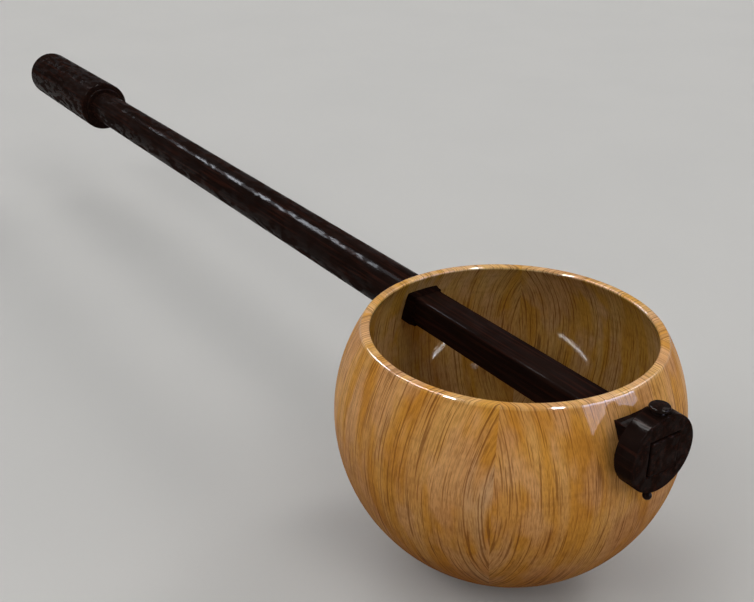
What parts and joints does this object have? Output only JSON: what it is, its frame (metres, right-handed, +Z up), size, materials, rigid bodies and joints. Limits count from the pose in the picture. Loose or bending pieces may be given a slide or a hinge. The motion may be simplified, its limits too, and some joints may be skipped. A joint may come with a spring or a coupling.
{
  "type": "through-neck bowl instrument body",
  "caption": "Open spherical wooden bowl on a dark through-neck, square inside the bowl and round outside, with a turned grip and a collar locked by a lift-out peg.",
  "frame": {"origin": "middle of the grip, on the axis of the neck", "axes": "+X along the neck from the grip to the bowl, +Z up out of the bowl's mouth, +Y to the instrument's left"},
  "size_m": [0.5542, 0.12, 0.0947],
  "materials": {
    "bowl_wood": "high-gloss clear lacquer over golden oak",
    "neck_wood": "polished near-black hardwood",
    "peg_wood": "polished near-black hardwood"
  },
  "bodies": {
    "instrument": {"bowl_front_quarter": "bowl_wood", "bowl_left_quarter": "bowl_wood", "bowl_rear_quarter": "bowl_wood", "bowl_right_quarter": "bowl_wood", "neck": "neck_wood", "grip": "neck_wood", "grip_ring": "neck_wood", "collar": "neck_wood", "rear_inner_bezel": "neck_wood", "front_inner_bezel": "neck_wood", "front_outer_bezel": "neck_wood"},
    "peg": {"locking_peg": "peg_wood"}
  },
  "joints": [
    {"name": "peg_lift", "type": "slide", "parent": "instrument", "child": "peg", "axis": [0, 0, 1], "range_m": [0, 0.032]}
  ]
}
